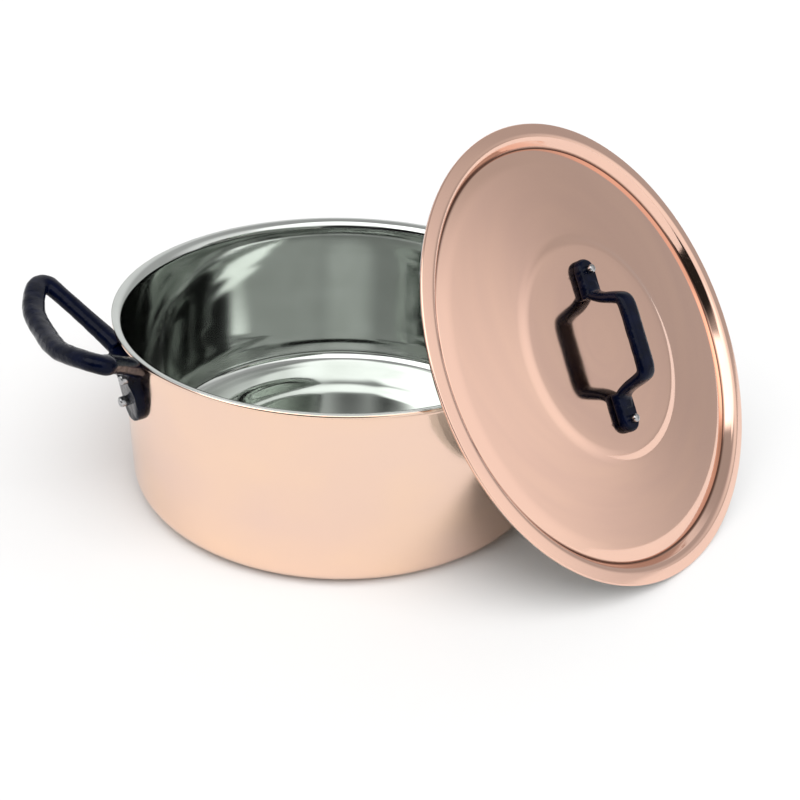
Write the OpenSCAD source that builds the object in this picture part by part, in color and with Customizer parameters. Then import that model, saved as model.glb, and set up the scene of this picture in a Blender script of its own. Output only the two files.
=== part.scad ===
// Two-handled copper pan with a tin-bright steel lining, iron handles and a lid that leans on its rim.
// Origin: middle of the pan's flat base. +Z up. The two side handles lie along X.

/* [Pan] */
// Diameter over the rolled lip
rim_d = 240; // [180:1:320]
// How far the lip stands out beyond the straight wall
lip_out = 3.5; // [2:0.5:6]
// Height from the base to the top of the lip
pan_h = 100; // [70:1:150]
// Thickness of the copper
copper_t = 1.7; // [1.2:0.1:3]
// Thickness of the bright lining
lining_t = 0.5; // [0.3:0.1:1]
// Outer radius where the wall turns into the base
base_round = 11; // [6:1:20]

/* [Lid] */
// How far the lid's edge stays inside the lip's edge when the pan is closed
lid_inset = 1; // [0:0.5:3]
// Thickness of the lid's copper
lid_copper_t = 1.4; // [1:0.1:2.5]
// Thickness of the lid's lining
lid_lining_t = 0.4; // [0.3:0.1:1]
// Gap all round between the lid's sunk part and the pan's mouth
lid_mouth_gap = 5.3; // [2:0.1:10]
// Depth of the groove below the flange's edge
groove_depth = 4.5; // [3:0.1:8]
// Height of the middle platform above the flange's edge
platform_rise = 0.8; // [0:0.1:4]
// Radius of the flat middle platform
platform_r = 53; // [48:1:60]
// Angle between the leaning lid and the floor
lean_angle = 53.6; // [45:0.1:70]
// Direction that the leaning lid faces, from +X
lean_turn = -70.5; // [-110:0.5:-50]
// How far the lid's middle sits sideways from where it touches the rim
lean_shift = 54; // [0:1:60]
// Air left between the leaning lid and the rim
lean_gap = 0.4; // [0.2:0.1:2]
// Width of bare copper left at the flange's edge, outside the lining
lid_edge_bare = 0.4; // [0.4:0.1:2]

/* [Pan handles] */
// Thickness of the plate that is riveted to the wall
plate_t = 4; // [2.5:0.5:6]
// Half width of the plate
plate_half_w = 13.5; // [12:0.5:18]
// Depth of the plate's round end below the top of the lip
plate_drop = 41; // [34:1:60]
// Reach of the grip's middle from the wall
grip_reach = 38.7; // [30:0.1:60]
// Height of the grip's middle above the top of the lip
grip_rise = 14; // [5:1:40]
// Half width of the loop at its corners
loop_half_w = 47.5; // [38:0.5:60]
// How much higher the corners are than the grip's middle
corner_lift = 4; // [0:0.5:8]
// Width of the bar, across the loop
bar_w = 10; // [7:0.5:14]
// Thickness of the bar
bar_t = 8.5; // [6:0.5:12]

/* [Pan rivets] */
// Diameter of a pan rivet's shank
rivet_d = 5; // [4:0.5:7]
// Length that a pan rivet's round end stands out from the plate
rivet_out = 4.6; // [3:0.1:7]
// Diameter of the flat head inside the pan
rivet_head_d = 9; // [8:0.5:12]
// Height of the flat head inside the pan
rivet_head_h = 1.6; // [1:0.1:3]
// Distance of each upper rivet from the handle's middle
rivet_half_gap = 8.5; // [7:0.5:12]
// Depth of the upper rivets below the top of the lip
upper_rivet_drop = 13.5; // [11:0.5:18]
// Depth of the lower rivet below the top of the lip
lower_rivet_drop = 30.5; // [26:0.5:45]
// Gap between a rivet and its hole, all round
rivet_gap = 0.1; // [0.05:0.05:0.3]

/* [Lid handle] */
// Length over both feet
bridge_l = 90; // [70:1:110]
// Width of a foot
foot_w = 12.5; // [9:0.5:16]
// Thickness of a foot
foot_t = 4.5; // [2:0.5:5]
// Height of the grip's top above the platform
bridge_h = 24; // [18:0.5:35]
// Half length of the straight grip
bridge_half_grip = 17.5; // [13:0.5:25]
// Width of the grip
grip_w = 11; // [8:0.5:14]
// Thickness of the grip
grip_t = 6.5; // [5:0.5:11]
// Turn of the handle on the lid, from the lid's downhill line
bridge_turn = -13; // [-45:1:45]
// Diameter of a lid rivet's shank
lid_rivet_d = 4.2; // [3:0.1:6]
// Length that a lid rivet's round end stands out from the foot
lid_rivet_out = 3.6; // [2:0.1:6]
// Diameter of a lid rivet's flat head under the lid
lid_rivet_head_d = 8; // [6:0.5:10]
// Height of a lid rivet's flat head under the lid
lid_rivet_head_h = 1.2; // [0.8:0.1:2]

/* [Hidden] */
copper = "#d9a183";
steel = "#c9d0d4";
iron = "#23262f";
$fn = 96;

rim_r = rim_d / 2;
wall_r = rim_r - lip_out;
pan_t = copper_t + lining_t;
lip_z = pan_h - pan_t - lip_out;
mouth_r = wall_r - pan_t;
over = 1;

lid_r = rim_r - lid_inset;
lid_t = lid_copper_t + lid_lining_t;
plug_r = mouth_r - lid_mouth_gap;

// Half outline of the lid's top, from the middle out: platform, shoulder, slope, groove, roll, flange.
shoulder_w = 7;
shoulder_fall = 1.3;
groove_r = plug_r - 1.4;
groove_round = 2;
roll_h = 0.7;
roll_r = plug_r + 4.5;
lid_edge = [
    [0, platform_rise],
    [platform_r, platform_rise],
    [platform_r + 0.3 * shoulder_w, platform_rise - 0.15 * shoulder_fall],
    [platform_r + 0.7 * shoulder_w, platform_rise - 0.85 * shoulder_fall],
    [platform_r + shoulder_w, platform_rise - shoulder_fall],
    [groove_r - groove_round, -0.97 * groove_depth],
    [groove_r, -groove_depth],
    [groove_r + groove_round / 2, -groove_depth + groove_round / 2],
    [plug_r + groove_round, 0],
    [plug_r + groove_round + 1, roll_h - 0.1],
    [roll_r, roll_h],
    [lid_r, 0]
];

// Leaning lid: its edge stands on the floor and its back rests on the round lip, a gap away.
// At a distance s along it, the lip has fallen away from the lid's plane and meets the lid at a
// radius of its own, so the place where they meet first is searched for.
lid_z = lid_r * sin(lean_angle) + lid_copper_t * cos(lean_angle);
lean_depth = lean_gap + max([
    for (s = [-platform_r:1:platform_r])
        lid_t - lookup(meeting_r(s), lid_edge) - lip_fall(s)
]);
lid_out = rim_r + ((pan_h - lid_z) * cos(lean_angle) + lean_depth) / sin(lean_angle);

// Rivets' inner heads sit flat against the curved lining.
head_seat = sqrt(mouth_r * mouth_r - rivet_head_d * rivet_head_d / 4) - 0.02;
pan_grip = wall_r + plate_t - head_seat;
upper_rivet_turn = rivet_half_gap / wall_r * 180 / PI;
drill_l = 40;

// Side handle, drawn on the +X side: root at the plate, corner, grip. A knee bends each turn.
bar_sides = 16;
corner_round = 6.5;
root_out = 2.4;
root_drop = 6.8;
root_half_w = plate_half_w - 1.5;
lip_gap = 0.3;
root_pt = [wall_r + root_out, root_half_w, pan_h - root_drop];
grip_mid = [wall_r + grip_reach, 0, pan_h + grip_rise];
corner_z = grip_mid[2] + corner_lift;
corner_in = [grip_mid[0] - 2.7 * corner_round, loop_half_w - corner_round, corner_z - 0.7 * corner_round];
corner_knee = [grip_mid[0] - 2 * corner_round, loop_half_w + corner_round, corner_z + corner_round / 3];
corner_out = [grip_mid[0] - corner_round, loop_half_w - corner_round, corner_z];
grip_knee = [grip_mid[0], loop_half_w * 0.38, grip_mid[2]];

function lip_fall(s) = (rim_r - sqrt(rim_r * rim_r - s * s)) * sin(lean_angle);
function meeting_x(s) = (pan_h - lid_z + (lid_t + lip_fall(s)) * cos(lean_angle)) / sin(lean_angle);
function meeting_r(s) = norm([lean_shift + s, meeting_x(s)]);
function unit(v) = v / norm(v);
function lerp(a, b, t) = a + (b - a) * t;
function bend(a, k, b, t) = lerp(lerp(a, k, t), lerp(k, b, t), t);
function mirror_y(v) = [v[0], -v[1], v[2]];
function mirror_x(v) = [-v[0], v[1], v[2]];
function back_to_front(list) = [for (i = [len(list) - 1:-1:0]) list[i]];

half_loop = concat(
    [for (i = [0:5]) lerp(root_pt, corner_in, i / 6)],
    [for (i = [0:7]) bend(corner_in, corner_knee, corner_out, i / 8)],
    [for (i = [0:5]) bend(corner_out, grip_knee, grip_mid, i / 6)]
);
loop_path = concat(half_loop, [grip_mid], [for (p = back_to_front(half_loop)) mirror_y(p)]);

// Bridge handle of the lid, drawn over X with its feet on Z = 0.
foot_x = bridge_l / 2 - foot_w / 2;
bridge_mid_z = bridge_h - grip_t / 2;
riser_foot = [foot_x - foot_w * 0.72, 0, foot_t * 0.5];
riser_top = [bridge_half_grip + 5, 0, bridge_mid_z * 0.62];
bridge_knee = [bridge_half_grip + 2.2, 0, bridge_mid_z];
grip_end = [bridge_half_grip - 5, 0, bridge_mid_z];
half_bridge = concat(
    [for (i = [0:3]) lerp(riser_foot, riser_top, i / 4)],
    [for (i = [0:5]) bend(riser_top, bridge_knee, grip_end, i / 6)],
    [grip_end]
);
bridge_path = concat(half_bridge, [[0, 0, bridge_mid_z]], [for (p = back_to_front(half_bridge)) mirror_x(p)]);

// Round bar along a path: each ring is an oval, w wide and t thick, square to the path.
module oval_bar(path, w, t, up) {
    n = bar_sides;
    last = len(path) - 1;
    rings = [
        for (i = [0:last])
            let (
                dir = unit(path[min(i + 1, last)] - path[max(i - 1, 0)]),
                side = unit(cross(dir, up)),
                top = cross(side, dir)
            )
            for (j = [0:n - 1])
                path[i] + side * cos(360 * j / n) * w / 2 + top * sin(360 * j / n) * t / 2
    ];
    walls = [
        for (i = [0:last - 1])
            for (j = [0:n - 1])
                let (k = (j + 1) % n)
                each [
                    [i * n + j, (i + 1) * n + k, (i + 1) * n + j],
                    [i * n + j, i * n + k, (i + 1) * n + k]
                ]
    ];
    first_end = [[for (j = [n - 1:-1:0]) j]];
    last_end = [[for (j = [0:n - 1]) last * n + j]];
    polyhedron(points = rings, faces = concat(walls, first_end, last_end), convexity = 6);
}

// Half outline of everything inside the pan's outer skin, shrunk by inset.
module pan_space(inset, top) {
    r = wall_r - inset;
    corner = base_round - inset;
    translate([0, inset + corner])
        square([r, lip_z - inset - corner]);
    translate([0, inset])
        square([r - corner, corner + over]);
    translate([r - corner, inset + corner])
        intersection() {
            circle(corner);
            translate([-corner, -corner])
                square([2 * corner, corner]);
        }
    translate([0, lip_z])
        difference() {
            square([rim_r, top - lip_z]);
            translate([rim_r, 0])
                circle(lip_out + inset);
        }
}

module pan_shell(outside, inside) {
    rotate_extrude($fn = 192)
        difference() {
            pan_space(outside, pan_h);
            pan_space(inside, pan_h + over);
            translate([rim_r - 0.01, pan_h - pan_t + inside])
                square([over, pan_t + over]);
        }
}

// Places its children at one of a side handle's three rivets, pointing out along +X.
module at_rivet(spot) {
    turn = spot == "front" ? -upper_rivet_turn : spot == "back" ? upper_rivet_turn : 0;
    drop = spot == "low" ? lower_rivet_drop : upper_rivet_drop;
    rotate([0, 0, turn])
        translate([head_seat, 0, pan_h - drop])
            rotate([0, 90, 0])
                children();
}

module rivet_holes() {
    for (side = [0, 180])
        rotate([0, 0, side])
            for (spot = ["low", "front", "back"])
                at_rivet(spot)
                    translate([0, 0, -over])
                        cylinder(d = rivet_d + 2 * rivet_gap, h = drill_l, $fn = 48);
}

module pan_body() {
    color(copper)
        difference() {
            pan_shell(0, copper_t);
            rivet_holes();
        }
}

module pan_lining() {
    color(steel)
        difference() {
            pan_shell(copper_t, pan_t);
            rivet_holes();
        }
}

module plate_outline() {
    tongue_z = pan_h - plate_drop + plate_half_w;
    top_z = lip_z - lip_gap;
    translate([0, tongue_z])
        circle(plate_half_w);
    translate([-plate_half_w, tongue_z])
        square([2 * plate_half_w, top_z - tongue_z]);
}

module side_handle() {
    difference() {
        union() {
            intersection() {
                rotate_extrude($fn = 192)
                    translate([wall_r, 0])
                        square([plate_t, pan_h]);
                rotate([90, 0, 90])
                    linear_extrude(2 * wall_r)
                        plate_outline();
            }
            // The root swells out of the plate's top to meet both arms.
            translate([wall_r - 2, -root_pt[1], root_pt[2] - bar_t / 2])
                cube([root_pt[0] - wall_r + 4, 2 * root_pt[1], bar_t - 1.5]);
            oval_bar(loop_path, bar_w, bar_t, [-0.5, 0, 1]);
        }
        cylinder(r = wall_r, h = pan_h, $fn = 192);
        translate([0, 0, lip_z])
            rotate_extrude($fn = 192)
                square([rim_r + lip_gap, pan_h - lip_z + lip_gap]);
        rivet_holes();
    }
}

module handle_left() {
    color(iron)
        rotate([0, 0, 180])
            side_handle();
}

module handle_right() {
    color(iron)
        side_handle();
}

// A rivet with a flat head under Z = 0, a shank through the grip length, and a round end.
module rivet(d, grip, out, head_d, head_h) {
    rotate_extrude($fn = 48) {
        square([d / 2, grip + out - d / 2]);
        translate([0, -head_h])
            square([head_d / 2, head_h]);
        intersection() {
            translate([0, grip + out - d / 2])
                circle(d / 2);
            translate([0, grip])
                square([d, out + d]);
        }
    }
}

module pan_rivet(side, spot) {
    color(steel)
        rotate([0, 0, side == "left" ? 180 : 0])
            at_rivet(spot)
                rivet(rivet_d, pan_grip, rivet_out, rivet_head_d, rivet_head_h);
}

// Half outline of a lid layer: the pressed shape between two depths, trimmed at a radius.
module lid_layer(top, bottom, trim_r) {
    intersection() {
        polygon(concat(
            [for (p = lid_edge) [p[0], p[1] - top]],
            [for (p = back_to_front(lid_edge)) [p[0], p[1] - bottom]]
        ));
        translate([0, -lid_r])
            square([trim_r, 2 * lid_r]);
    }
}

// Moves the lid from its own frame, flange edge at Z = 0, to where it leans on the pan.
module leaning() {
    rotate([0, 0, lean_turn])
        translate([lid_out, lean_shift, lid_z])
            rotate([0, lean_angle, 0])
                children();
}

module at_lid_rivet(end) {
    rotate([0, 0, bridge_turn])
        translate([end * foot_x, 0, platform_rise])
            children();
}

module lid_rivet_holes() {
    for (end = [-1, 1])
        at_lid_rivet(end)
            translate([0, 0, -drill_l / 2])
                cylinder(d = lid_rivet_d + 2 * rivet_gap, h = drill_l, $fn = 48);
}

module lid_disc() {
    color(copper)
        leaning()
            difference() {
                rotate_extrude($fn = 192)
                    lid_layer(0, lid_copper_t, lid_r);
                lid_rivet_holes();
            }
}

module lid_lining() {
    color(steel)
        leaning()
            difference() {
                rotate_extrude($fn = 192)
                    lid_layer(lid_copper_t, lid_t, lid_r - lid_edge_bare);
                lid_rivet_holes();
            }
}

module bridge_foot() {
    cylinder(d = foot_w, h = foot_t, $fn = 64);
    translate([-foot_w, -foot_w / 2, 0])
        cube([foot_w, foot_w, foot_t]);
}

module lid_handle() {
    color(iron)
        leaning()
            difference() {
                rotate([0, 0, bridge_turn])
                    translate([0, 0, platform_rise])
                        intersection() {
                            union() {
                                translate([foot_x, 0, 0])
                                    bridge_foot();
                                rotate([0, 0, 180])
                                    translate([foot_x, 0, 0])
                                        bridge_foot();
                                oval_bar(bridge_path, grip_w, grip_t, [0, 1, 0]);
                            }
                            translate([-bridge_l, -bridge_l, 0])
                                cube([2 * bridge_l, 2 * bridge_l, 2 * bridge_h]);
                        }
                lid_rivet_holes();
            }
}

module lid_rivet(end) {
    color(steel)
        leaning()
            at_lid_rivet(end)
                translate([0, 0, -lid_t])
                    rivet(lid_rivet_d, lid_t + foot_t, lid_rivet_out, lid_rivet_head_d, lid_rivet_head_h);
}

pan_body();
pan_lining();
handle_left();
handle_right();
pan_rivet("left", "low");  // rivet_left_low
pan_rivet("left", "front");  // rivet_left_front
pan_rivet("left", "back");  // rivet_left_back
pan_rivet("right", "low");  // rivet_right_low
pan_rivet("right", "front");  // rivet_right_front
pan_rivet("right", "back");  // rivet_right_back
lid_disc();
lid_lining();
lid_handle();
lid_rivet(-1);  // lid_rivet_upper
lid_rivet(1);  // lid_rivet_lower
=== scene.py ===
import math

import bmesh
import bpy
from mathutils import Matrix, Quaternion, Vector, noise


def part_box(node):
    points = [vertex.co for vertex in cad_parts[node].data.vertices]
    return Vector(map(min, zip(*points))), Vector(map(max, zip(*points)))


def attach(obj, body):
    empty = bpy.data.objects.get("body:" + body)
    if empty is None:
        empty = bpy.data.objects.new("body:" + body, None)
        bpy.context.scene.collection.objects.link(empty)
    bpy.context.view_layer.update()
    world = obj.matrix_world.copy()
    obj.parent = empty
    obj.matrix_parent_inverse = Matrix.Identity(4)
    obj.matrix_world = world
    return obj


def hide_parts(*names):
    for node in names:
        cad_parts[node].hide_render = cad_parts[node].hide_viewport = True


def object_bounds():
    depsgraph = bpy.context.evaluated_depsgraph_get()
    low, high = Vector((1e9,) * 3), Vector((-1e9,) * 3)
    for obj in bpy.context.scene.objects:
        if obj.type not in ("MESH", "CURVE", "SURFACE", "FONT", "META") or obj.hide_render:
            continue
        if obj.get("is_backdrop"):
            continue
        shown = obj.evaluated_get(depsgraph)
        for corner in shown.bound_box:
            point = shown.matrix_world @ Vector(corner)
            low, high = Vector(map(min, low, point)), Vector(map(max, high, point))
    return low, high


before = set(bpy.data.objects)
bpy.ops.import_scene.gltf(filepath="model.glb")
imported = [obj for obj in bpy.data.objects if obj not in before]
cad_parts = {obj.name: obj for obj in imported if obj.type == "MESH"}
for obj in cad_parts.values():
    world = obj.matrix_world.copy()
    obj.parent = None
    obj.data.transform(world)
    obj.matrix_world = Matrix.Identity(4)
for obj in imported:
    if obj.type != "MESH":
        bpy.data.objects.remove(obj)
cadLow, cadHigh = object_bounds()

mm = 0.001

# ---- camera
cameraSetup = {
    "place": (-0.2474, -0.4652, 0.3439),
    "aim": (0.4514, 0.7384, -0.5010),
    "roll": 2.28,  # degrees, clockwise tilt of the view
    "lens": 49.05,
    "filmWidth": 36,
    "clip": (0.02, 60),
}


def makeCamera(setup):
    cameraData = bpy.data.cameras.new("studioCamera")
    cameraData.lens = setup["lens"]
    cameraData.sensor_width = setup["filmWidth"]
    cameraData.clip_start, cameraData.clip_end = setup["clip"]
    camera = bpy.data.objects.new("studioCamera", cameraData)
    camera.location = setup["place"]
    camera.rotation_mode = "QUATERNION"
    look = Vector(setup["aim"]).to_track_quat("-Z", "Y")
    camera.rotation_quaternion = look @ Quaternion((0, 0, 1), math.radians(setup["roll"]))
    bpy.context.scene.collection.objects.link(camera)
    bpy.context.scene.camera = camera


makeCamera(cameraSetup)
bpy.context.scene.view_settings.view_transform = "Standard"
print("camera placed")


# ---- small helpers for outlines and meshes, all in millimetres until the mesh is made
def arcPoints(middle, radius, start, end, steps):
    points = []
    for i in range(steps + 1):
        angle = math.radians(start + (end - start) * i / steps)
        points.append((middle[0] + radius * math.cos(angle), middle[1] + radius * math.sin(angle)))
    return points


def roundedLine(corners, steps=7):
    # corners are (x, y, reach): each one is rounded off, starting that far before it
    line = [corners[0][:2]]
    for before, corner, after in zip(corners, corners[1:], corners[2:]):
        here = Vector(corner[:2])
        back, ahead = Vector(before[:2]) - here, Vector(after[:2]) - here
        reach = min(corner[2], 0.49 * back.length, 0.49 * ahead.length)
        if reach <= 0:
            line.append(tuple(here))
            continue
        first, last = here + back.normalized() * reach, here + ahead.normalized() * reach
        for i in range(steps + 1):
            t = i / steps
            bent = first * (1 - t) ** 2 + here * 2 * t * (1 - t) + last * t ** 2
            line.append(tuple(bent))
    line.append(corners[-1][:2])
    return line


def splitLong(line, longest):
    # extra points on long straight runs, so that soft dents and shading have something to hold
    out = [line[0]]
    for a, b in zip(line, line[1:]):
        parts = max(1, math.ceil(math.dist(a, b) / longest))
        for i in range(1, parts + 1):
            out.append((a[0] + (b[0] - a[0]) * i / parts, a[1] + (b[1] - a[1]) * i / parts))
    return out


def linkMesh(name, bm, body, material, replaced, place=None):
    # place sets a mesh down from its own axis into the row frame; its finish keeps to its own axis
    for vert in bm.verts:
        vert.co *= mm
    bmesh.ops.recalc_face_normals(bm, faces=bm.faces)
    place = place or Matrix.Identity(4)
    own = [vert.co.copy() for vert in bm.verts]
    turnWay = place.to_quaternion()
    bmesh.ops.transform(bm, matrix=place, verts=bm.verts)
    mesh = bpy.data.meshes.new(name)
    bm.to_mesh(mesh)
    bm.free()
    for face in mesh.polygons:
        face.use_smooth = True
    ownPlace = mesh.attributes.new("ownPlace", "FLOAT_VECTOR", "POINT")
    ownPlace.data.foreach_set("vector", [x for v in own for x in v])
    aroundWay = mesh.attributes.new("aroundWay", "FLOAT_VECTOR", "POINT")
    around = [turnWay @ Vector((-v.y, v.x, 1e-6)).normalized() for v in own]
    aroundWay.data.foreach_set("vector", [x for v in around for x in v])
    piece = bpy.data.objects.new(name, mesh)
    bpy.context.scene.collection.objects.link(piece)
    mesh.materials.append(material)
    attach(piece, body)
    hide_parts(*replaced)
    return piece


def turnedMesh(outline, sides):
    # outline is a closed loop of (radius, height); points on the axis become one vertex
    bm = bmesh.new()
    rings = []
    for radius, height in outline:
        if radius < 1e-6:
            rings.append([bm.verts.new((0, 0, height))])
        else:
            rings.append([
                bm.verts.new((
                    radius * math.cos(math.tau * i / sides),
                    radius * math.sin(math.tau * i / sides),
                    height,
                ))
                for i in range(sides)
            ])
    pairs = list(zip(rings, rings[1:]))
    if len(rings[0]) > 1:
        pairs.append((rings[-1], rings[0]))
    for low, high in pairs:
        for i in range(sides):
            k = (i + 1) % sides
            corners = [low[i % len(low)], low[k % len(low)], high[k % len(high)], high[i % len(high)]]
            corners = list(dict.fromkeys(corners))
            if len(corners) > 2:
                bm.faces.new(corners)
    return bm


def smoothPath(points, steps):
    # Catmull-Rom curve through the points
    ends = [points[0] * 2 - points[1]] + points + [points[-1] * 2 - points[-2]]
    path = []
    for a, b, c, d in zip(ends, ends[1:], ends[2:], ends[3:]):
        for i in range(steps):
            t = i / steps
            path.append(0.5 * (
                2 * b + (c - a) * t + (2 * a - 5 * b + 4 * c - d) * t ** 2
                + (3 * b - a - 3 * c + d) * t ** 3
            ))
    path.append(points[-1])
    return path


def addBar(bm, path, sizes, upward, squareness=2.3, sides=28):
    # a bar along the path; sizes gives (width, thickness) at each point
    rings = []
    last = len(path) - 1
    for i, (point, size) in enumerate(zip(path, sizes)):
        ahead = (path[min(i + 1, last)] - path[max(i - 1, 0)]).normalized()
        side = ahead.cross(upward).normalized()
        top = side.cross(ahead)
        ring = []
        for j in range(sides):
            angle = math.tau * j / sides
            c, s = math.cos(angle), math.sin(angle)
            across = math.copysign(abs(c) ** (2 / squareness), c) * size[0] / 2
            upright = math.copysign(abs(s) ** (2 / squareness), s) * size[1] / 2
            ring.append(bm.verts.new(point + side * across + top * upright))
        rings.append(ring)
    for a, b in zip(rings, rings[1:]):
        for j in range(sides):
            k = (j + 1) % sides
            bm.faces.new((a[j], a[k], b[k], b[j]))
    bm.faces.new(reversed(rings[0]))
    bm.faces.new(rings[-1])


def addSlab(bm, outline, backOf, frontOf):
    # a slab over a closed (y, z) outline, between x = backOf(y, z) and x = frontOf(y, z)
    back = [bm.verts.new((backOf(y, z), y, z)) for y, z in outline]
    front = [bm.verts.new((frontOf(y, z), y, z)) for y, z in outline]
    for i in range(len(outline)):
        k = (i + 1) % len(outline)
        bm.faces.new((back[i], back[k], front[k], front[i]))
    bm.faces.new(reversed(back))
    bm.faces.new(front)


def castTogether(bm, voxel, smoothing):
    # melts overlapping shapes into one casting with soft inside corners, and hands back a new bmesh
    bmesh.ops.recalc_face_normals(bm, faces=bm.faces)
    mesh = bpy.data.meshes.new("castingBlank")
    bm.to_mesh(mesh)
    bm.free()
    blank = bpy.data.objects.new("castingBlank", mesh)
    bpy.context.scene.collection.objects.link(blank)
    remesh = blank.modifiers.new("melt", "REMESH")
    remesh.mode = "VOXEL"
    remesh.voxel_size = voxel
    soften = blank.modifiers.new("soften", "SMOOTH")
    soften.factor = 0.5
    soften.iterations = smoothing
    bpy.context.view_layer.update()
    solid = blank.evaluated_get(bpy.context.evaluated_depsgraph_get()).to_mesh()
    cast = bmesh.new()
    cast.from_mesh(solid)
    bpy.data.objects.remove(blank)
    return cast


def roughenCasting(bm, coarse, fine):
    # the sand mould's uneven skin: (depth, size) of a slow wave and of small pits
    bm.normal_update()
    moves = []
    for vert in bm.verts:
        slow = noise.noise(vert.co / coarse[1])
        pits = noise.noise(vert.co / fine[1] + Vector((7, 3, 5)))
        moves.append(vert.normal * (slow * coarse[0] + min(pits, 0.1) * fine[0]))
    for vert, move in zip(bm.verts, moves):
        vert.co += move


# ---- materials
class Finish:
    # a Principled material and short ways to add nodes to it
    def __init__(self, name, **values):
        self.material = bpy.data.materials.new(name)
        self.material.use_nodes = True
        self.tree = self.material.node_tree
        self.shader = self.tree.nodes["Principled BSDF"]
        for key, value in values.items():
            self.shader.inputs[key].default_value = value

    def add(self, kind, **values):
        node = self.tree.nodes.new(kind)
        for key, value in values.items():
            if key in node.inputs:
                node.inputs[key].default_value = value
            else:
                setattr(node, key, value)
        return node

    def join(self, output, target):
        self.tree.links.new(output, target)

    def feed(self, output, socket):
        self.join(output, self.shader.inputs[socket])

    def noiseOf(self, vector, scale, detail=3.0, roughness=0.5):
        node = self.add("ShaderNodeTexNoise", Scale=scale, Detail=detail, Roughness=roughness)
        self.join(vector, node.inputs["Vector"])
        return node.outputs["Fac"]

    def ownPlace(self):
        # where a point is on the piece's own axis, in metres
        return self.add("ShaderNodeAttribute", attribute_name="ownPlace").outputs["Vector"]

    def brushedRound(self):
        # the brush ran round the piece, so highlights spread across its path
        way = self.add("ShaderNodeAttribute", attribute_name="aroundWay")
        self.join(way.outputs["Vector"], self.shader.inputs["Tangent"])

    def stretched(self, scale):
        # the piece's own coordinates squeezed by scale, so that noise on them draws out into streaks
        mapping = self.add("ShaderNodeMapping", Scale=scale)
        self.join(self.ownPlace(), mapping.inputs["Vector"])
        return mapping.outputs["Vector"]

    def ringed(self, across, around):
        # noise on this draws rings round the piece's own axis, that close up slowly
        place = self.ownPlace()
        parts = self.add("ShaderNodeSeparateXYZ")
        self.join(place, parts.inputs[0])
        flat = self.add("ShaderNodeCombineXYZ")
        self.join(parts.outputs["X"], flat.inputs["X"])
        self.join(parts.outputs["Y"], flat.inputs["Y"])
        length = self.add("ShaderNodeVectorMath", operation="LENGTH")
        self.join(flat.outputs[0], length.inputs[0])
        wide = self.add("ShaderNodeMath", operation="MULTIPLY")
        wide.inputs[1].default_value = across
        self.join(length.outputs["Value"], wide.inputs[0])
        slow = self.add("ShaderNodeVectorMath", operation="SCALE", Scale=around)
        self.join(place, slow.inputs[0])
        shift = self.add("ShaderNodeCombineXYZ")
        self.join(wide.outputs[0], shift.inputs["X"])
        total = self.add("ShaderNodeVectorMath", operation="ADD")
        self.join(slow.outputs[0], total.inputs[0])
        self.join(shift.outputs[0], total.inputs[1])
        return total.outputs[0]

    def nearRadius(self, radius, halfWidth):
        # 1 on a circle round the piece's own axis, fading to 0 half a width away
        cut = self.add("ShaderNodeVectorMath", operation="MULTIPLY")
        cut.inputs[1].default_value = (1, 1, 0)
        self.join(self.ownPlace(), cut.inputs[0])
        length = self.add("ShaderNodeVectorMath", operation="LENGTH")
        self.join(cut.outputs[0], length.inputs[0])
        away = self.add("ShaderNodeMath", operation="SUBTRACT")
        away.inputs[1].default_value = radius
        self.join(length.outputs["Value"], away.inputs[0])
        size = self.add("ShaderNodeMath", operation="ABSOLUTE")
        self.join(away.outputs[0], size.inputs[0])
        return self.ranged(size.outputs[0], 1, 0, halfWidth * 0.3, halfWidth)

    def ranged(self, value, low, high, fromLow=0.3, fromHigh=0.7):
        node = self.add("ShaderNodeMapRange")
        for key, number in zip(("From Min", "From Max", "To Min", "To Max"), (fromLow, fromHigh, low, high)):
            node.inputs[key].default_value = number
        self.join(value, node.inputs["Value"])
        return node.outputs["Result"]

    def mixed(self, factor, first, second):
        node = self.add("ShaderNodeMix", data_type="RGBA")
        node.inputs["A"].default_value = (*first, 1)
        node.inputs["B"].default_value = (*second, 1)
        self.join(factor, node.inputs["Factor"])
        return node.outputs["Result"]

    def bumped(self, heights):
        # heights is a list of (output, depth in metres); each bump feeds the next
        before = None
        for height, depth in heights:
            node = self.add("ShaderNodeBump", Distance=depth, Strength=1.0)
            self.join(height, node.inputs["Height"])
            if before is not None:
                self.join(before, node.inputs["Normal"])
            before = node.outputs["Normal"]
        self.join(before, self.shader.inputs["Normal"])


# noise sizes are repeats per metre along X, Y and Z, or across and around; depths are in metres
wallLook = {
    "warm": (0.93, 0.665, 0.50),
    "pale": (0.86, 0.625, 0.52),
    "roughness": (0.08, 0.15),
    "brushSpread": 0.5,
    "streakSize": (9, 9, 1500),
    "broadSize": (10, 10, 90),
    "cloudSize": (14, 14, 20),
    "streakDepth": 0.0000045,
}


def brushedCopper():
    look = wallLook
    f = Finish("brushedCopper", Metallic=1.0, Anisotropic=look["brushSpread"])
    f.brushedRound()
    streaks = f.noiseOf(f.stretched(look["streakSize"]), 1.0, 3.0, 0.6)
    broad = f.noiseOf(f.stretched(look["broadSize"]), 1.0, 2.0)
    cloud = f.noiseOf(f.stretched(look["cloudSize"]), 1.0, 2.0)
    f.feed(f.mixed(f.ranged(cloud, 0, 1), look["warm"], look["pale"]), "Base Color")
    f.feed(f.ranged(broad, *look["roughness"]), "Roughness")
    f.bumped([(streaks, look["streakDepth"])])
    return f.material


lidLook = {
    "bright": (0.92, 0.605, 0.475),
    "dull": (0.86, 0.565, 0.455),
    "paintedGrooveShade": (0.20, 0.10, 0.07),
    "paintedShadeHalfW": 0.0009,  # of the painted shade line along the groove
    "roughness": (0.07, 0.11),
    "ringSize": (900, 12),
    "cloudSize": (60, 16),
    "ringDepth": 0.0000009,
}


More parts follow.
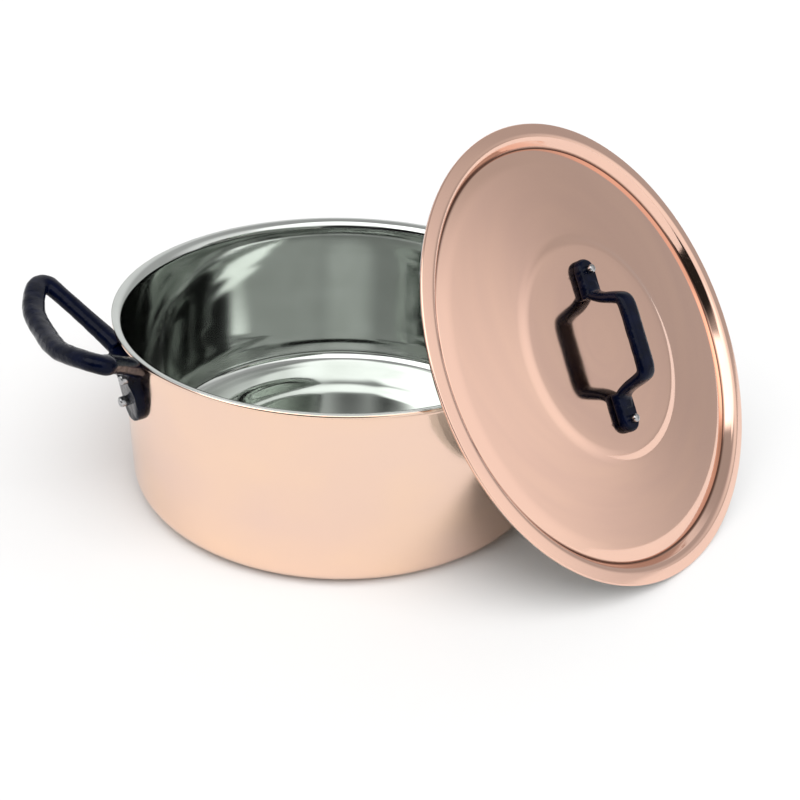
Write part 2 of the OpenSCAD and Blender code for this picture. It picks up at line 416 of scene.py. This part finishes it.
def polishedCopper():
    look = lidLook
    f = Finish("polishedCopper", Metallic=1.0)
    rings = f.noiseOf(f.ringed(*look["ringSize"]), 1.0, 3.0, 0.6)
    cloud = f.noiseOf(f.ringed(*look["cloudSize"]), 1.0, 2.0)
    polish = f.mixed(f.ranged(cloud, 0, 1), look["bright"], look["dull"])
    # painted shade: a dark line is mixed into the base colour along the groove's circle, standing in for the
    # groove's shade
    grooveShadeMask = f.nearRadius(lidShape["grooveR"] * mm, look["paintedShadeHalfW"])
    withPaintedShade = f.mixed(grooveShadeMask, (1, 1, 1), look["paintedGrooveShade"])
    f.join(polish, withPaintedShade.node.inputs["A"])
    f.feed(withPaintedShade, "Base Color")
    f.feed(f.ranged(cloud, *look["roughness"]), "Roughness")
    f.bumped([(rings, look["ringDepth"])])
    return f.material


liningLook = {
    "bright": (0.70, 0.725, 0.70),
    "dull": (0.63, 0.655, 0.625),
    "roughness": (0.055, 0.09),
    "brushSpread": 0.7,
    "streakSize": (12, 12, 1300),
    "cloudSize": (25, 25, 25),
    "streakDepth": 0.0000012,
}


def brightLining():
    look = liningLook
    f = Finish("brightLining", Metallic=1.0, Anisotropic=look["brushSpread"])
    f.brushedRound()
    streaks = f.noiseOf(f.stretched(look["streakSize"]), 1.0, 3.0, 0.6)
    cloud = f.noiseOf(f.stretched(look["cloudSize"]), 1.0, 3.0)
    f.feed(f.mixed(f.ranged(cloud, 0, 1), look["bright"], look["dull"]), "Base Color")
    f.feed(f.ranged(cloud, *look["roughness"]), "Roughness")
    f.bumped([(streaks, look["streakDepth"])])
    return f.material


ironLook = {
    "black": (0.0006, 0.0014, 0.006),
    "navy": (0.0015, 0.003, 0.013),
    "gloss": 1.2,  # refractive index of the black enamel
    "roughness": (0.08, 0.20),
    "pitSize": 620,
    "skinSize": 170,
    "skinDepth": 0.00018,
    "pitDepth": 0.00006,
}


def blackIron():
    look = ironLook
    f = Finish("blackIron", Metallic=0.0, IOR=look["gloss"])
    pits = f.noiseOf(f.ownPlace(), look["pitSize"], 4.0, 0.6)
    skin = f.noiseOf(f.ownPlace(), look["skinSize"], 3.0)
    f.feed(f.mixed(f.ranged(skin, 0, 1), look["black"], look["navy"]), "Base Color")
    f.feed(f.ranged(pits, *look["roughness"]), "Roughness")
    f.bumped([(skin, look["skinDepth"]), (pits, look["pitDepth"])])
    return f.material


rivetLook = {
    "dark": (0.30, 0.30, 0.31),
    "light": (0.50, 0.50, 0.50),
    "roughness": (0.13, 0.24),
    "wearSize": 900,
    "wearDepth": 0.00003,
}


def rivetSteel():
    look = rivetLook
    f = Finish("rivetSteel", Metallic=1.0)
    wear = f.noiseOf(f.ownPlace(), look["wearSize"], 3.0)
    f.feed(f.mixed(f.ranged(wear, 0, 1), look["dark"], look["light"]), "Base Color")
    f.feed(f.ranged(wear, *look["roughness"]), "Roughness")
    f.bumped([(wear, look["wearDepth"])])
    return f.material


# the lid's sizes come first, because its finish paints a shade line into the groove
lidShape = {
    "lean": 53.6,
    "turn": -70.5,
    "copperT": 1.4,
    "liningT": 0.4,
    "platformZ": 0.8,
    "grooveR": 107.6,
    "bare": 0.4,
    "sides": 320,
}

finishes = {
    "wall": brushedCopper(),
    "lid": polishedCopper(),
    "lining": brightLining(),
    "iron": blackIron(),
    "rivet": rivetSteel(),
}
print("finishes made:", len(finishes))

# ---- pan, turned about the row's Z axis
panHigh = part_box("pan_lining")[1]
rimR = panHigh.x / mm
panH = panHigh.z / mm

panShape = {
    "lipOut": 3.5,
    "copperT": 1.7,
    "liningT": 0.5,
    "baseRound": 11.0,
    "floorR": 72.0,  # flat middle of the floor, inside its shallow step
    "stepW": 7.0,
    "stepH": 1.1,
    "stepRound": 3.0,
    "bandRise": 0.7,  # the band outside the step climbs this much towards the wall
    "bandR": 105.0,
    "corner": (2.2, 3.4, 5.5),  # of the lining: in from the wall, up from the band, and its round
    "cornerTop": 16.0,
    "edgeGap": 0.25,  # soft steps where copper and lining meet at the lip's edge
    "edgeSoft": 0.15,
    "longestRuns": (6, 8, 5),  # between points outside, along the seam and inside
    "sides": 288,
}
wallR = rimR - panShape["lipOut"]
panT = panShape["copperT"] + panShape["liningT"]
lipZ = panH - panT - panShape["lipOut"]


def panSkin(inset):
    # from the middle of the base, round the corner, up the wall and out to the lip's edge
    corner = panShape["baseRound"]
    line = [(0, inset)]
    line += arcPoints((wallR - corner, corner), corner - inset, -90, 0, 14)
    line += [(wallR - inset, lipZ)]
    line += arcPoints((rimR, lipZ), panShape["lipOut"] + inset, 180, 90, 12)[1:]
    return line


def liningSkin():
    s = panShape
    inside = wallR - panT
    foot = panT + s["stepH"] + s["bandRise"]
    line = roundedLine([
        (0, panT, 0),
        (s["floorR"], panT, s["stepRound"]),
        (s["floorR"] + s["stepW"], panT + s["stepH"], s["stepRound"]),
        (s["bandR"], foot, 0),
        (inside - s["corner"][0], foot + s["corner"][1], s["corner"][2]),
        (inside, foot + s["cornerTop"], 0),
    ])
    line.append((inside, lipZ))
    line += arcPoints((rimR, lipZ), s["lipOut"] + panT, 180, 90, 12)[1:]
    return line


def makePan():
    s = panShape
    outsideRun, seamRun, insideRun = s["longestRuns"]
    outside = splitLong(panSkin(0), outsideRun)
    seam = splitLong(panSkin(s["copperT"]), seamRun)
    edge = [(rimR, lipZ + s["lipOut"] + s["edgeGap"]), (rimR, panH - s["liningT"])]
    shell = turnedMesh(outside + edge + seam[::-1][1:], s["sides"])
    linkMesh("panCopper", shell, "pan", finishes["wall"], ["pan_body"])
    inside = splitLong(liningSkin(), insideRun)
    soft = s["edgeSoft"]
    lining = turnedMesh(seam + [(rimR, panH - soft), (rimR - soft, panH)] + inside[::-1][1:], s["sides"])
    linkMesh("panLining", lining, "pan", finishes["lining"], ["pan_lining"])


makePan()
print("pan turned")

# ---- lid, turned about its own axis and then leant on the lip
lidShape["lidR"] = rimR - 1.0
lidTurn = (
    Matrix.Rotation(math.radians(lidShape["turn"]), 4, "Z")
    @ Matrix.Rotation(math.radians(lidShape["lean"]), 4, "Y")
)
lidNormal = lidTurn @ Vector((0, 0, 1))
lidLow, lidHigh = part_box("lid_disc")
lidCentre = (lidLow + lidHigh) / 2 + lidNormal * lidShape["copperT"] * mm / 2
lidPlace = Matrix.Translation(lidCentre) @ lidTurn


def lidSkin(drop, edgeR):
    # platform, soft shoulder, slope, sharp groove, roll and flange
    s = lidShape
    top = s["platformZ"]
    g = s["grooveR"]
    corners = [
        (0, top, 0),
        (54.6, top, 4.2),
        (58.4, top - 1.05, 3.6),
        (g - 6.5, -2.9, 2.6),
        (g - 1.0, -4.25, 0.7),
        (g, -4.75, 0.2),
        (g + 0.7, -4.0, 0.3),
        (g + 3.0, -0.3, 1.5),
        (g + 5.1, 0.75, 1.6),
        (s["lidR"] - 0.45, 0.04, 0.3),
        (s["lidR"], -0.28, 0),
    ]
    line = [(r, z - drop) for r, z in roundedLine(corners)]
    if edgeR < s["lidR"]:
        line = [p for p in line if p[0] < edgeR] + [(edgeR, -0.1 - drop)]
    return splitLong(line, 4)


def makeLid():
    s = lidShape
    top = lidSkin(0, s["lidR"])
    seam = lidSkin(s["copperT"], s["lidR"] - 0.2)
    disc = turnedMesh(top + seam[::-1], s["sides"])
    linkMesh("lidCopper", disc, "lid", finishes["lid"], ["lid_disc"], lidPlace)
    upper = lidSkin(s["copperT"], s["lidR"] - s["bare"])
    under = lidSkin(s["copperT"] + s["liningT"], s["lidR"] - s["bare"])
    lining = turnedMesh(upper + under[::-1], s["sides"])
    linkMesh("lidLining", lining, "lid", finishes["lining"], ["lid_lining"], lidPlace)


makeLid()
print("lid turned")

# ---- side handles: a wide loop on a riveted plate, cast in one
sideHandle = {
    "root": (wallR + 2.4, 12.0, panH - 6.8),
    "cornerIn": (wallR + 21.0, 41.0, panH + 13.5),
    "cornerKnee": (wallR + 25.6, 47.6, panH + 17.2),
    "cornerOut": (wallR + 31.8, 41.0, panH + 18.0),
    "gripKnee": (wallR + 38.0, 22.0, panH + 15.4),
    "gripMiddle": (wallR + 38.7, 0.0, panH + 14.0),
    "rootSize": (12.5, 9.5),
    "armSize": (9.6, 8.2),
    "gripSize": (10.6, 8.8),
    "plateHalfW": 13.5,
    "waistHalfW": 10.5,
    "earHalfW": 15.5,
    "plateDrop": 41.0,
    "plateTop": 10.0,  # thickness of the plate near the lip
    "plateFoot": 4.0,  # and at its round end
    "plateCrown": 0.8,  # how far its long edges fall back
    "plateSwell": 1.9,  # how late the thickness grows towards the lip
    "plateWiden": (19.0, 26.0),  # heights above the foot where it narrows to the waist
    "neckPlace": (5.6, 10.5),  # out from the wall and below the lip
    "neckSize": 9.0,
    "lipGap": 0.3,
    "voxel": 0.55,
    "softening": 13,
    "skinWave": (0.16, 5.0),
    "skinPits": (0.10, 1.1),
}


def loopPath():
    s = sideHandle
    half = [Vector(s[k]) for k in ("root", "cornerIn", "cornerKnee", "cornerOut", "gripKnee")]
    middle = [Vector(s["gripMiddle"])]
    other = [Vector((p.x, -p.y, p.z)) for p in reversed(half)]
    return smoothPath(half + middle + other, 14)


def barSizes(path):
    s = sideHandle
    reach = s["gripMiddle"][0] - s["root"][0]
    sizes = []
    for point in path:
        t = (point.x - s["root"][0]) / reach
        near = max(0.0, 1 - t * 2.6) ** 2
        far = max(0.0, t * 2 - 1)
        sizes.append(tuple(
            s["armSize"][i] + (s["rootSize"][i] - s["armSize"][i]) * near
            + (s["gripSize"][i] - s["armSize"][i]) * far
            for i in range(2)
        ))
    return sizes


def plateEdge():
    # (y, z) outline: ears under the lip, a slight waist and a round foot
    s = sideHandle
    top = lipZ - s["lipGap"]
    foot = panH - s["plateDrop"]
    half = arcPoints((0, foot + s["plateHalfW"]), s["plateHalfW"], -90, 0, 20)
    half += roundedLine([
        (s["plateHalfW"], foot + s["plateHalfW"] + 0.5, 0),
        (s["plateHalfW"], foot + s["plateWiden"][0], 4.0),
        (s["waistHalfW"], foot + s["plateWiden"][1], 4.0),
        (s["earHalfW"] - 1.4, top - 2.2, 3.0),
        (s["earHalfW"], top, 0.4),
        (0, top, 0),
    ], 12)
    return half + [(-y, z) for y, z in half[::-1][1:-1]]


def keepOffPan(bm):
    # sets the casting down on the wall and clear of the lip
    s = sideHandle
    for vert in bm.verts:
        radius = math.hypot(vert.co.x, vert.co.y)
        if radius < wallR + 0.01:
            vert.co.x *= (wallR + 0.01) / radius
            vert.co.y *= (wallR + 0.01) / radius
            radius = wallR + 0.01
        clear = rimR + s["lipGap"]
        if radius < clear and vert.co.z > lipZ - s["lipGap"]:
            inward = min(rimR - radius, panShape["lipOut"])
            under = lipZ - s["lipGap"] + math.sqrt(max(0, panShape["lipOut"] ** 2 - max(inward, 0) ** 2))
            if vert.co.z > under:
                if vert.co.z - under < clear - radius:
                    vert.co.z = under
                else:
                    vert.co.x *= clear / radius
                    vert.co.y *= clear / radius


def makeSideHandle(name, node, turned):
    s = sideHandle
    bm = bmesh.new()
    path = loopPath()
    addBar(bm, path, barSizes(path), Vector((-0.5, 0, 1)))
    foot = panH - s["plateDrop"]

    def front(y, z):
        t = max(0, (z - foot) / (lipZ - foot))
        thick = s["plateFoot"] + (s["plateTop"] - s["plateFoot"]) * t ** s["plateSwell"]
        crown = s["plateCrown"] * (y / s["plateHalfW"]) ** 2
        return wallR + thick - y * y / (2 * wallR) - crown

    addSlab(bm, plateEdge(), lambda y, z: wallR - 2, front)
    out, down = s["neckPlace"]
    neck = [Vector((wallR + out, y, panH - down)) for y in range(-9, 10, 2)]
    addBar(bm, neck, [(s["neckSize"], s["neckSize"])] * len(neck), Vector((0, 0, 1)), 2.0)
    cast = castTogether(bm, s["voxel"], s["softening"])
    roughenCasting(cast, s["skinWave"], s["skinPits"])
    keepOffPan(cast)
    if turned:
        for vert in cast.verts:
            vert.co.x, vert.co.y = -vert.co.x, -vert.co.y
    return linkMesh(name, cast, "pan", finishes["iron"], [node])


makeSideHandle("sideHandleRight", "handle_right", False)
makeSideHandle("sideHandleLeft", "handle_left", True)
print("side handles cast")

# ---- bridge handle of the lid
bridge = {
    "turn": -13.0,
    "length": 90.0,
    "footW": 12.5,
    "footT": 4.5,
    "height": 24.0,
    "halfGrip": 17.5,
    "gripSize": (11.0, 6.5),
    "riserSize": (11.5, 5.2),
    "riserStart": 2.2,  # height of its first point, inside the foot
    "riserFoot": [(9.2, 3.2), (5.6, 8.5)],  # out from the grip and up from the platform
    "riserHead": [(3.2, 4.6), (0.8, 0.9), (-5.0, 0.0)],  # out from the grip and down from its middle
    "footBack": 14.0,  # how far a foot runs back under its riser
    "footSteps": [(0.0, 0.0), (0.0, 0.5), (0.3, 0.8), (1.1, 1.0)],  # inward and share of the thickness
    "voxel": 0.42,
    "softening": 3,
    "skinWave": (0.12, 5.0),
    "skinPits": (0.07, 1.0),
}


def makeBridge():
    s = bridge
    top = lidShape["platformZ"]
    gripZ = top + s["height"] - s["gripSize"][1] / 2
    bm = bmesh.new()
    half = [
        Vector((s["length"] / 2 - s["footW"], 0, top + s["riserStart"])),
        *[Vector((s["halfGrip"] + out, 0, top + up)) for out, up in s["riserFoot"]],
        *[Vector((s["halfGrip"] + out, 0, gripZ - down)) for out, down in s["riserHead"]],
        Vector((6.0, 0, gripZ)),
    ]
    path = smoothPath(half + [Vector((-p.x, 0, p.z)) for p in reversed(half)], 10)
    sizes = []
    for point in path:
        t = min(1, max(0, (point.z - top - 6) / (gripZ - top - 8)))
        sizes.append(tuple(s["riserSize"][i] + (s["gripSize"][i] - s["riserSize"][i]) * t for i in range(2)))
    addBar(bm, path, sizes, Vector((0, 0, 1)), 2.5)
    for end in (-1, 1):
        middle = s["length"] / 2 - s["footW"] / 2
        rings = []
        for inward, height in s["footSteps"]:
            endR = s["footW"] / 2 - inward
            outline = [(middle - s["footBack"] + inward, -endR)]
            outline += arcPoints((middle, 0), endR, -90, 90, 24)
            outline += [(middle - s["footBack"] + inward, endR)]
            rings.append([bm.verts.new((end * x, end * y, top + height * s["footT"])) for x, y in outline])
        for low, high in zip(rings, rings[1:]):
            for i in range(len(low)):
                k = (i + 1) % len(low)
                bm.faces.new((low[i], low[k], high[k], high[i]))
        bm.faces.new(reversed(rings[0]))
        bm.faces.new(rings[-1])
    cast = castTogether(bm, s["voxel"], s["softening"])
    roughenCasting(cast, s["skinWave"], s["skinPits"])
    for vert in cast.verts:
        vert.co.z = max(vert.co.z, top + 0.02)
    turn = Matrix.Rotation(math.radians(s["turn"]), 4, "Z")
    bmesh.ops.transform(cast, matrix=turn, verts=cast.verts)
    linkMesh("lidBridge", cast, "lid", finishes["iron"], ["lid_handle"], lidPlace)


makeBridge()
print("lid handle cast")

# ---- rivets
panRivet = {
    "r": 2.6,
    "out": 4.7,  # beyond a plate 4 thick
    "upperMore": 1.3,  # the upper two stand further out, because the plate swells there
    "plateT": 4.0,
    "headR": 4.5,
    "headH": 1.6,
    "seatGap": 0.09,
}
lidRivet = {"r": 2.1, "out": 3.6, "headR": 4.0, "headH": 1.2}


def rivetMesh(size, seat, tip):
    # hammered round end outside, flat head inside; seat and tip are heights along the rivet
    r, head = size["r"], size["headR"]
    outline = roundedLine([
        (0, seat - size["headH"], 0),
        (head, seat - size["headH"], 0.7),
        (head, seat, 0.25),
        (r * 0.92, seat, 0),
        (r * 0.92, tip - 2.2 * r, 0.4),
        (r * 1.04, tip - 1.4 * r, 1.2),
        (r * 1.02, tip - 0.25 * r, 1.9),
        (r * 0.45, tip, 0.8),
        (0, tip, 0),
    ])
    return turnedMesh(outline, 48)


def makePanRivets():
    for side in ("left", "right"):
        for spot in ("low", "front", "back"):
            node = "rivet_%s_%s" % (side, spot)
            low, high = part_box(node)
            middle = (low + high) / 2
            outward = Vector((middle.x, middle.y, 0)).normalized()
            pointing = outward.to_track_quat("Z", "Y").to_matrix().to_4x4()
            place = Matrix.Translation((0, 0, middle.z)) @ pointing
            seat = wallR - panT - panRivet["seatGap"]
            tip = wallR + panRivet["plateT"] + panRivet["out"]
            if spot != "low":
                tip += panRivet["upperMore"]
            name = "rivet" + side.capitalize() + spot.capitalize()
            linkMesh(name, rivetMesh(panRivet, seat, tip), "pan", finishes["rivet"], [node], place)


def makeLidRivets():
    reach = bridge["length"] / 2 - bridge["footW"] / 2
    under = lidShape["platformZ"] - lidShape["copperT"] - lidShape["liningT"]
    tip = lidShape["platformZ"] + bridge["footT"] + lidRivet["out"]
    for end, node in ((-1, "lid_rivet_upper"), (1, "lid_rivet_lower")):
        turn = math.radians(bridge["turn"])
        shift = Vector((end * reach * math.cos(turn), end * reach * math.sin(turn), 0)) * mm
        name = "lidRivet" + ("Upper" if end < 0 else "Lower")
        place = lidPlace @ Matrix.Translation(shift)
        linkMesh(name, rivetMesh(lidRivet, under, tip), "lid", finishes["rivet"], [node], place)


makePanRivets()
makeLidRivets()
print("rivets set")

# ---- studio
studio = {
    "floorSize": 24.0,
    "floorColour": (0.68, 0.68, 0.68),
    "floorGlow": 0.0,
    "sunStrength": 2.0,
    "sunSpread": 55.0,
    "sunFrom": (150, 60),
    "heading": math.atan2(cameraSetup["aim"][0], cameraSetup["aim"][1]),
    "plainSky": 0.48,
    "seenSky": 0.94,
    # soft areas of the studio's walls: clockwise from straight ahead, height, half width and
    # softness in degrees, then brightness
    "glows": [
        (0, 25, 20, 12, 0.85),
        (-72, 28, 38, 14, 0.70),
        (120, 24, 33, 20, 1.05),
        (0, 90, 24, 16, 0.40),
        (-130, 49, 24, 4, 2.40),
        (145, 50, 19, 5, 1.50),
        (180, 60, 22, 5, 2.00),
        (-152, 11, 21, 4, 0.01),
        (180, 9, 21, 4, 0.02),
    ],
}


def studioWay(clockwise, height):
    turn = studio["heading"] + math.radians(clockwise)
    up = math.radians(height)
    return Vector((math.sin(turn) * math.cos(up), math.cos(turn) * math.cos(up), math.sin(up)))


def makeFloor():
    bm = bmesh.new()
    bmesh.ops.create_grid(bm, x_segments=2, y_segments=2, size=studio["floorSize"] / 2)
    mesh = bpy.data.meshes.new("studioFloor")
    bm.to_mesh(mesh)
    bm.free()
    floor = bpy.data.objects.new("studioFloor", mesh)
    floor.location = (0, 0, -0.0002)
    bpy.context.scene.collection.objects.link(floor)
    f = Finish("paleFloor", Roughness=0.9)
    f.shader.inputs["Base Color"].default_value = (*studio["floorColour"], 1)
    f.shader.inputs["Emission Color"].default_value = (1, 1, 1, 1)
    f.shader.inputs["Emission Strength"].default_value = studio["floorGlow"]
    mesh.materials.append(f.material)
    floor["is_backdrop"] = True


def makeSky():
    world = bpy.data.worlds.new("studioSky")
    world.use_nodes = True
    bpy.context.scene.world = world
    nodes, links = world.node_tree.nodes, world.node_tree.links
    place = nodes.new("ShaderNodeTexCoord")
    level = nodes.new("ShaderNodeValue")
    level.outputs[0].default_value = studio["plainSky"]
    current = level.outputs[0]
    for clockwise, height, halfWidth, softness, brightness in studio["glows"]:
        dot = nodes.new("ShaderNodeVectorMath")
        dot.operation = "DOT_PRODUCT"
        dot.inputs[1].default_value = studioWay(clockwise, height)
        links.new(place.outputs["Generated"], dot.inputs[0])
        mask = nodes.new("ShaderNodeMapRange")
        mask.interpolation_type = "SMOOTHSTEP"
        mask.inputs["From Min"].default_value = math.cos(math.radians(halfWidth + softness))
        mask.inputs["From Max"].default_value = math.cos(math.radians(max(0, halfWidth - softness)))
        links.new(dot.outputs["Value"], mask.inputs["Value"])
        blend = nodes.new("ShaderNodeMix")
        links.new(mask.outputs["Result"], blend.inputs["Factor"])
        links.new(current, blend.inputs["A"])
        blend.inputs["B"].default_value = brightness
        current = blend.outputs["Result"]
    seen = nodes.new("ShaderNodeLightPath")
    plain = nodes.new("ShaderNodeMix")
    links.new(seen.outputs["Is Camera Ray"], plain.inputs["Factor"])
    links.new(current, plain.inputs["A"])
    plain.inputs["B"].default_value = studio["seenSky"]
    links.new(plain.outputs["Result"], nodes["Background"].inputs["Color"])


def makeSun():
    # lights the floor and leaves its soft shadows, and stays out of the mirror finishes
    lamp = bpy.data.lights.new("softSun", "SUN")
    lamp.energy = studio["sunStrength"]
    lamp.angle = math.radians(studio["sunSpread"])
    sun = bpy.data.objects.new("softSun", lamp)
    sun.rotation_mode = "QUATERNION"
    sun.rotation_quaternion = studioWay(*studio["sunFrom"]).to_track_quat("Z", "Y")
    sun.visible_glossy = False
    bpy.context.scene.collection.objects.link(sun)


makeFloor()
makeSky()
makeSun()
print("studio lit")

newLow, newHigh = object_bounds()
growth = [round((new - old) / mm, 1) for old, new in zip([*cadLow, *cadHigh], [*newLow, *newHigh])]
print("looks past the CAD box, mm:", growth)
